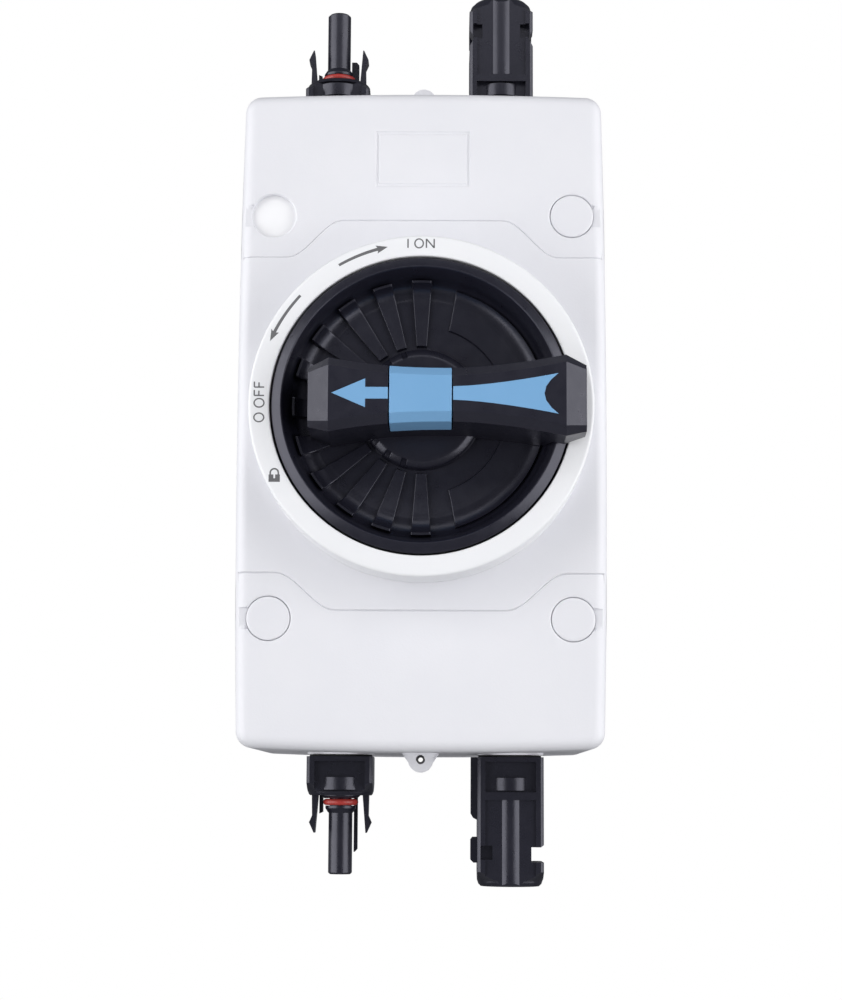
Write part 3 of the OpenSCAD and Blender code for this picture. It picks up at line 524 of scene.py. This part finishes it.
def sealing_ear(bm, sz):
    """Ear with a round end and hollow flanks, above or below the box."""
    def flank(t):
        return ((1 - t) ** 2 * 5.6 + 2 * t * (1 - t) * 3.5 + t * t * 2.94,
                (1 - t) ** 2 * 75.9 + 2 * t * (1 - t) * 76.5 + t * t * 77.9)

    side = [flank(i / 6) for i in range(7)]
    profile = [(-x, z) for x, z in side] + arc(0, EAR_Z, EAR_R, EAR_R, 182, -2, 28) + side[::-1]
    hole = circle_loop(0, EAR_Z, EAR_HOLE_R, 32)
    edges = loop_edges(0, len(profile)) + loop_edges(len(profile), len(hole))
    for f in (PART_F, PART_F + EAR_T):
        flat_mesh(
            bm, profile + hole, edges, 1,
            lambda x, z: to_world(x, sz * z, f),
            lambda x, z: math.hypot(x, z - EAR_Z) > EAR_HOLE_R - 0.01,
        )
    for loop in (profile, hole):
        add_skin(bm, [[to_world(x, sz * z, f) for x, z in loop] for f in (PART_F, PART_F + EAR_T)])


def dial_ring():
    bm = bmesh.new()
    seat = FRONT_F - 0.02
    lathe(bm, fillet([
        (RING_IN, seat, 0), (RING_IN, RING_F, 0.4), (RING_OUT, RING_F, 0.75),
        (RING_OUT + 0.02, FRONT_F + 0.5, 0.3), (RING_OUT, seat, 0), (RING_FOOT_OUT, seat, 0),
        (RING_FOOT_OUT, FRONT_F - RING_FOOT_T, 0.2), (RING_FOOT_IN, FRONT_F - RING_FOOT_T, 0.2),
        (RING_FOOT_IN, seat, 0),
    ], 6), segments=288)
    finish_mesh("marked_dial_ring", bm, "enclosure", "ring_plastic", ["dial_ring"])


# ---------------------------------------------------------------- marks on the ring

def stroke(points, width):
    """Outline of a line of constant width, anticlockwise."""
    pts = [Vector(p) for p in points]
    left, right = [], []
    for i, p in enumerate(pts):
        a = (p - pts[i - 1]).normalized() if i else None
        b = (pts[i + 1] - p).normalized() if i + 1 < len(pts) else None
        d = (a + b).normalized() if a and b else (a or b)
        scale = 1 / max(abs(d.dot(a or b)), 0.5)
        nrm = Vector((-d.y, d.x)) * width / 2 * scale
        left.append(p + nrm)
        right.append(p - nrm)
    loop = right + list(reversed(left))
    return [tuple(p) for p in loop]


def arc(cx, cy, rx, ry, a0, a1, n=24):
    turns = [math.radians(a0 + (a1 - a0) * i / n) for i in range(n + 1)]
    return [(cx + rx * math.cos(a), cy + ry * math.sin(a)) for a in turns]


def area(loop):
    return sum(a[0] * b[1] - b[0] * a[1] for a, b in zip(loop, loop[1:] + loop[:1])) / 2


def glyph(letter, w, h):
    """Line strokes of a plain capital I, O, N or F."""
    if letter == "I":
        return [[(0, 0), (0, h)]]
    if letter == "O":
        return [arc(w / 2, h / 2, w / 2, h / 2, 0, 360, 40)]
    if letter == "N":
        return [[(0, 0), (0, h)], [(0, h), (w, 0)], [(w, 0), (w, h)]]
    return [[(0, 0), (0, h)], [(0, h), (w, h)], [(0, h * 0.53), (w * 0.85, h * 0.53)]]


def ring_word(bm, letters, h, centre, turn, width=0.3):
    """Letters, each as (capital, start, width), in a line around its middle."""
    total = letters[-1][1] + letters[-1][2]
    c, s = math.cos(turn), math.sin(turn)
    for letter, start, w in letters:
        for part in glyph(letter, w, h):
            moved = [(centre[0] + (x + start - total / 2) * c - (y - h / 2) * s,
                      centre[1] + (x + start - total / 2) * s + (y - h / 2) * c) for x, y in part]
            mark_strip(bm, moved, width)


def mark_strip(bm, points, width):
    """Printed line, a little proud of the ring's face."""
    loop = stroke(points, width)
    n = len(points)
    top, low = RING_F + MARK_UP, RING_F - MARK_DOWN
    right, left = loop[:n], list(reversed(loop[n:]))
    rows = ((left, low), (left, top), (right, top), (right, low))
    rings = [[to_world(x, z, f) for x, z in row] for row, f in rows]
    made = add_skin(bm, rings + [rings[0]], closed=False)
    for i in (0, -1):
        bm.faces.new([made[k][i] for k in range(4)])


def mark_plate(bm, loop):
    """Printed area inside a closed outline."""
    if area(loop) < 0:
        loop = list(reversed(loop))
    plate(bm, loop, RING_F - MARK_DOWN, RING_F + MARK_UP, 0.02)


def polar(r, a):
    return (r * math.cos(math.radians(a)), r * math.sin(math.radians(a)))


def turning_arrow(bm, a0, a1):
    """Curved arrow on the ring from one angle to another."""
    sign = 1 if a1 > a0 else -1
    neck = a1 - sign * 3.6
    back = neck - sign * 0.45
    n = 24
    outer, inner = [], []
    for i in range(n + 1):
        a = a0 + (neck - a0) * i / n
        outer.append(polar(ARROW_R + ARROW_HALF + 0.05 * i / n, a))
        inner.append(polar(ARROW_R - ARROW_HALF - 0.05 * i / n, a))
    tip = [polar(ARROW_R + ARROW_HEAD_HALF, back), polar(ARROW_R, a1), polar(ARROW_R - ARROW_HEAD_HALF, back)]
    mark_plate(bm, outer + tip + inner[::-1])


def padlock(bm):
    """Padlock sign with a key slot."""
    x, z = PADLOCK_X, PADLOCK_Z
    shackle = [(x - 0.9, z + 0.05)] + arc(x, z + 0.5, 0.9, 0.9, 180, 0, 14) + [(x + 0.9, z + 0.05)]
    mark_strip(bm, shackle, 0.34)
    body = [
        (-1.25, -1.55), (1.25, -1.55), (1.25, 0.1), (0.2, 0.1),
        (0.2, -0.75), (-0.2, -0.75), (-0.2, 0.1), (-1.25, 0.1),
    ]
    mark_plate(bm, [(x + dx, z + dz) for dx, dz in body])


def ring_marks():
    bm = bmesh.new()
    on = [("I", 0, 0), ("O", 1.55, 1.9), ("N", 4.15, 1.75)]
    off = [("O", 0, 1.95), ("O", 3.3, 1.95), ("F", 5.95, 1.25), ("F", 7.85, 1.25)]
    ring_word(bm, on, 2.05, polar(36.8, 90.3), 0)
    ring_word(bm, off, 2.2, polar(36.2, 179.3), math.pi / 2)
    turning_arrow(bm, 120.5, 102.1)
    turning_arrow(bm, 137.8, 157.2)
    padlock(bm)
    finish_mesh("ring_marks", bm, "enclosure", "mark_ink")


# ---------------------------------------------------------------- knob

def shoulder(t, drop):
    """1 before a rounded shoulder, less by the drop at its end, where t is 1."""
    return 1 - drop * (1 - math.sqrt(max(1 - max(t, 0) ** 2, 0)))


def bowl(r, start, lift):
    """Depth of the bowl's slightly hollow floor and the curved wall that begins at a radius."""
    t = clamp((r - start) / WALL_REACH)
    hollow = HOLLOW * clamp((r - FLOOR_IN) / 11) ** 2 * (1 - t)
    return BOWL_F + lift + hollow + WALL_REACH * (1 - math.sqrt(max(1 - t * t, 0)))


def from_fin(angle):
    """Signed angle from the middle of the nearest fin."""
    return (angle - 90 + FIN_STEP / 2) % FIN_STEP - FIN_STEP / 2


def sector(angle):
    """1 on a raised fin, 0 beside it, with rounded shoulders."""
    d = abs(from_fin(angle))
    if not 85.0 < angle % 360 < 275.0 or d > FIN_FLAT + FIN_SHOULDER + 0.01:
        return 0.0
    return shoulder((d - FIN_FLAT) / FIN_SHOULDER, 0.25)


def side_lean(r):
    return SIDE_LEAN * (clamp(r, SIDE_IN, SIDE_OUT) - SIDE_IN)


def signed(angle):
    return (angle + 180) % 360 - 180


def plain_side(angle, r):
    """1 on the plain right-hand side of the bowl."""
    past = abs(signed(angle)) - SIDE_EDGE - side_lean(r)
    return 0.0 if past > 0.01 else shoulder((past + 0.5) / 0.5, 0.5)


def dish_height(r, angle):
    """Depth f of the bowl with its fins and its raised plain side."""
    floor = bowl(r, WALL_R, 0.0)
    if r > 14.2:
        ends = smooth((r - 14.4) / 0.3) * smooth((WALL_R + 4.05 - r) / 0.12)
        blade = bowl(min(r, WALL_R + 3.4), WALL_R - 1.1, 1.0)
        if sector(angle) > 0.5:
            blade += 0.12 * from_fin(angle) / 4.5
        floor += max(blade - floor, 0) * sector(angle) * ends
    if r > SIDE_IN:
        raised = bowl(r, WALL_R - 0.6, 0.5)
        ends = smooth((r - SIDE_IN - 0.1) / 0.25) * smooth((WALL_R + 3.2 - r) / 0.25)
        floor += max(raised - floor, 0) * plain_side(angle, r) * ends
    return floor


def hub_notch(angle):
    """1 in the notches of the hub's edge, one at every fin."""
    if not 100.0 < angle % 360 < 260.0:
        return 0.0
    d = abs((angle + FIN_STEP / 2) % FIN_STEP - FIN_STEP / 2)
    return smooth((3.2 - d) / 0.9)


def dish_angles():
    """Angles of the dish's mesh, closer together at the fins' flanks and the plain side's edge."""
    angles = [0.75 * i for i in range(480)]
    for k in range(FINS):
        centre = 90 + FIN_STEP * k
        for e in (4.0, 4.2, 4.34, 4.45, 4.52, 4.56, 4.6):
            angles += [centre - e, centre + e]
    for side in (-1, 1):
        angles += [side * (SIDE_EDGE + e) for e in (-0.5, -0.32, -0.19, -0.1, -0.03, 0, 0.04)]
    return sorted(set(round(a % 360, 3) for a in angles))


def leaning(r, angle):
    """Angle moved along with the leaning edge of the plain side."""
    turn = signed(angle)
    near = smooth(1 - max(abs(abs(turn) - SIDE_EDGE) - 0.4, 0) / 5)
    return angle + math.copysign(side_lean(r) * near, turn if turn else -1)


def knob_dish():
    bm = bmesh.new()
    angles = dish_angles()
    hub = [
        (6.0, HUB_F), (11.6, HUB_F), (12.0, HUB_F - 0.02), (12.3, HUB_F - 0.12), (13.3, HUB_F - 0.75),
        (13.6, HUB_F - 1.05), (13.7, HUB_F - 1.3), (13.8, BOWL_F + 0.15), (13.9, BOWL_F),
    ]
    fin_starts = [FLOOR_IN + e for e in (0, 0.2, 0.35, 0.4, 0.5, 0.6, 0.7, 1.0)]
    fin_starts += [15.5 + 0.5 * i for i in range(7)]
    side_starts = [SIDE_IN + e for e in (-0.1, 0.1, 0.16, 0.22, 0.29, 0.35, 0.6)]
    side_starts += [20 + 0.5 * i for i in range(8)]
    wall = [WALL_R - 1.2 + 0.2 * i for i in range(21)]
    side_ends = [WALL_R + e for e in (2.95, 3.0, 3.05, 3.1, 3.15, 3.2, 3.3, 3.4, 3.6, 3.8)]
    fin_ends = [WALL_R + e for e in (3.93, 3.97, 4.01, 4.05, 4.2, 4.4, 4.5)]
    rim = fillet([
        (WALL_R + WALL_REACH, BOWL_F + WALL_REACH, 0), (31.05, RIM_F - 0.3, 0), (31.35, RIM_F, 0.25),
        (DISH_R - 0.02, RIM_F - 1.45, 0.25), (DISH_R, 78.9, 0.2), (DISH_R, DISH_REAR_F, 0.3),
        (DISH_R - 2.0, DISH_REAR_F, 0.2), (DISH_R - 2.4, 74.0, 0.4), (27.6, WEB_F, 0.4), (8.0, WEB_F, 0.0),
        (8.0, STEM_F, 0.2), (0.001, STEM_F, 0),
    ], 4)
    rings = [[to_world(0, 0, HUB_F)]]
    for r, f in hub:
        notch = 0.5 if 12.2 < r < 13.75 else 0.0
        rings.append([to_world(*polar(r, a), f - notch * hub_notch(a)) for a in angles])
    for r in fin_starts + side_starts + wall + side_ends + fin_ends:
        placed = [leaning(r, a) for a in angles]
        rings.append([to_world(*polar(r, a), dish_height(r, a)) for a in placed])
    for r, f in rim[1:-1]:
        rings.append([to_world(*polar(r, a), f) for a in angles])
    rings.append([to_world(0, 0, STEM_F)])
    add_skin(bm, rings)
    finish_mesh("finned_dish", bm, "knob", "black_plastic", ["knob_dish"], sharp=38)


# ---------------------------------------------------------------- wells

def caps():
    bm = bmesh.new()
    top = ZONE_F - 0.02
    r = WELL_R - CAP_GAP
    profile = fillet([
        (0.001, WELL_FLOOR + 0.1, 0), (r, WELL_FLOOR + 0.1, 0.2), (r, top - 0.03, 0.4),
        (4.2, top + 0.04, 0.5), (0.001, top, 0),
    ], 4)
    for sx, sz in ((1, 1), (-1, -1), (1, -1)):
        lathe(bm, profile, sx * WELL_X, sz * WELL_Z, 72, closed=False)
    finish_mesh("blanking_caps", bm, "enclosure", "white_plastic", ["screw_caps"])


def open_web():
    """Thin knock-out web at the bottom of the well that has lost its cap, in a lighter copy of the cover's
    plastic as painted light on the shaded well floor.
    """
    bm = bmesh.new()
    r, low, high = WELL_R - 0.02, WELL_FLOOR - 0.02, WELL_FLOOR + 0.05
    profile = fillet([(0.001, low, 0), (r, low, 0), (r, high, 0.02), (0.001, high, 0)], 3)
    lathe(bm, profile, -WELL_X, WELL_Z, 72, closed=False)
    finish_mesh("open_well_web", bm, "enclosure", "web_plastic_painted_light")


# ---------------------------------------------------------------- nodes that keep their CAD shape

def eased(node, mat, width):
    """Gives a CAD node its material and eases its edges by a width in millimetres."""
    obj = nodes[node]
    obj.data.materials.clear()
    obj.data.materials.append(MATS[mat])
    weld = obj.modifiers.new("weld", "WELD")
    weld.merge_threshold = 1e-6
    plain = obj.modifiers.new("dissolve", "DECIMATE")
    plain.decimate_type = "DISSOLVE"
    plain.angle_limit = math.radians(0.4)
    if width > 0:
        bevel = obj.modifiers.new("bevel", "BEVEL")
        bevel.width = width * MM
        bevel.segments = 3
        bevel.limit_method = "ANGLE"
        bevel.angle_limit = math.radians(28)
        bevel.use_clamp_overlap = True
        bevel.miter_outer = "MITER_ARC"
    normal = obj.modifiers.new("normal", "WEIGHTED_NORMAL")
    normal.keep_sharp = True
    for poly in obj.data.polygons:
        poly.use_smooth = True


front_cover()
dial_ring()
ring_marks()
knob_dish()
caps()
open_web()

# material of each node, and the width of its eased edges in millimetres
CAD_LOOK = {
    "base_housing": ("white_plastic", 0.3), "handle_grip": ("black_plastic", 0.35),
    "lock_slide": ("blue_plastic", 0.2), "arrow_inlay": ("blue_plastic", 0.06),
    "nose_connector_top": ("connector_plastic", 0.22), "nose_connector_bottom": ("connector_plastic", 0.22),
    "sleeve_connector_top": ("connector_plastic", 0.3), "sleeve_connector_bottom": ("connector_plastic", 0.3),
    "nose_seals": ("red_rubber", 0), "connector_seals": ("black_rubber", 0.12),
    "connector_nuts": ("connector_plastic", 0.3),
    "socket_contacts": ("tinned_brass", 0.1), "pin_contacts": ("tinned_brass", 0.1),
    "seal_eyelets": ("dark_steel", 0.08),
    "foot_left": ("steel", 0.12), "foot_right": ("steel", 0.12), "foot_screws": ("steel", 0.08),
    "cover_screws": ("steel", 0.1), "grip_screws": ("steel", 0.1), "knob_retainer": ("steel", 0.1),
    "mounting_plate": ("steel", 0.1), "plate_screws": ("steel", 0.1), "snap_spring": ("steel", 0),
    "tie_screws": ("steel", 0.1), "terminal_screws": ("steel", 0.1), "terminal_links": ("copper", 0.08),
    "cover_gasket": ("black_rubber", 0.15), "knob_seal": ("black_rubber", 0.15),
    "mechanism_housing": ("grey_plastic", 0.3), "mechanism_cover": ("grey_plastic", 0.3),
    "drive_shaft": ("grey_plastic", 0.2),
    "wire_top_left": ("red_wire", 0), "wire_bottom_left": ("red_wire", 0),
    "wire_top_right": ("black_wire", 0), "wire_bottom_right": ("black_wire", 0),
}
for k in range(1, 5):
    CAD_LOOK[f"contact_deck_{k}"] = ("grey_plastic", 0.3)
    CAD_LOOK[f"rotor_{k}"] = ("rotor_plastic", 0.2)
    CAD_LOOK[f"moving_contact_{k}"] = ("copper", 0.08)
    CAD_LOOK[f"fixed_contacts_{k}"] = ("copper", 0.08)
for node, (mat, width) in CAD_LOOK.items():
    eased(node, mat, width)


# ---------------------------------------------------------------- floor, light and camera

FLOOR_Z = -2.0


def stage_floor():
    bm = bmesh.new()
    rings = [[(0, 0, FLOOR_Z)]]
    for r in (0.4, 0.9, 1.5, 2.1):
        rings.append([(x, y, FLOOR_Z) for x, y in circle_loop(0, 0, r, 96)])
    add_skin(bm, rings)
    mesh = bpy.data.meshes.new("studio_floor")
    bm.to_mesh(mesh)
    bm.free()
    floor = bpy.data.objects.new("studio_floor", mesh)
    scene.collection.objects.link(floor)
    mat, tree, bsdf = new_material("studio_floor")
    colour = ramp(tree, noise_node(tree, 3), (0.86, 0.86, 0.87), (0.88, 0.88, 0.89))
    tree.links.new(colour, bsdf.inputs["Base Color"])
    bsdf.inputs["Roughness"].default_value = 0.8
    mesh.materials.append(mat)


def area_light(name, place, size, energy):
    """Rectangular light that faces the switch."""
    data = bpy.data.lights.new(name, "AREA")
    data.shape = "RECTANGLE"
    data.size, data.size_y = size
    data.energy = energy
    obj = bpy.data.objects.new(name, data)
    obj.location = place
    obj.rotation_euler = (Vector((0, -0.07, 0)) - obj.location).to_track_quat("-Z", "Y").to_euler()
    scene.collection.objects.link(obj)


def studio():
    world = bpy.data.worlds.new("studio")
    scene.world = world
    world.use_nodes = True
    tree = world.node_tree
    out = tree.nodes["World Output"]
    light = tree.nodes["Background"]
    light.inputs["Strength"].default_value = 1.0
    # the room is brightest at eye level and darker towards the floor
    place = tree.nodes.new("ShaderNodeTexCoord")
    split = tree.nodes.new("ShaderNodeSeparateXYZ")
    height = tree.nodes.new("ShaderNodeMapRange")
    height.inputs["From Min"].default_value = -1.0
    room = tree.nodes.new("ShaderNodeValToRGB")
    room.color_ramp.elements[0].color = (0.06, 0.062, 0.067, 1)
    room.color_ramp.elements[1].color = (0.16, 0.165, 0.18, 1)
    for at, level in ((0.36, 0.09), (0.5, 0.23), (0.64, 0.1)):
        element = room.color_ramp.elements.new(at)
        element.color = (level * 0.93, level * 0.95, level, 1)
    tree.links.new(place.outputs["Generated"], split.inputs["Vector"])
    tree.links.new(split.outputs["Z"], height.inputs["Value"])
    tree.links.new(height.outputs["Result"], room.inputs["Fac"])
    tree.links.new(room.outputs["Color"], light.inputs["Color"])
    shown = tree.nodes.new("ShaderNodeBackground")
    shown.inputs["Color"].default_value = (1, 1, 1, 1)
    shown.inputs["Strength"].default_value = 1.0
    path = tree.nodes.new("ShaderNodeLightPath")
    mix = tree.nodes.new("ShaderNodeMixShader")
    tree.links.new(path.outputs["Is Camera Ray"], mix.inputs["Fac"])
    tree.links.new(light.outputs["Background"], mix.inputs[1])
    tree.links.new(shown.outputs["Background"], mix.inputs[2])
    tree.links.new(mix.outputs["Shader"], out.inputs["Surface"])
    area_light("left_softbox", (-0.83, -0.47, 0.0), (1.15, 1.3), 13.0)
    area_light("right_softbox", (0.83, -0.47, 0.0), (1.15, 1.3), 12.8)
    area_light("top_softbox", (0.0, -0.88, 0.62), (1.1, 0.35), 1.4)
    area_light("low_fill", (0.0, -0.9, -0.7), (0.9, 0.4), 0.25)
    scene.view_settings.view_transform = "Standard"
    scene.view_settings.look = "None"


def camera():
    data = bpy.data.cameras.new("camera")
    data.sensor_width = 36
    data.lens = 77.15
    data.clip_start = 0.01
    obj = bpy.data.objects.new("camera", data)
    pan, tilt, roll = 0.0115, 0.1381, -0.0053
    turn = Matrix.Rotation(pan, 3, "Z") @ Matrix.Rotation(tilt, 3, "X") @ Matrix.Rotation(roll, 3, "Y")
    right, forward, up = (turn.col[i] for i in range(3))
    rot = Matrix((right, up, -forward)).transposed()
    obj.matrix_world = Matrix.Translation(Vector((5.5, -550.5, -87.0)) * MM) @ rot.to_4x4()
    scene.collection.objects.link(obj)
    scene.camera = obj


stage_floor()
studio()
camera()
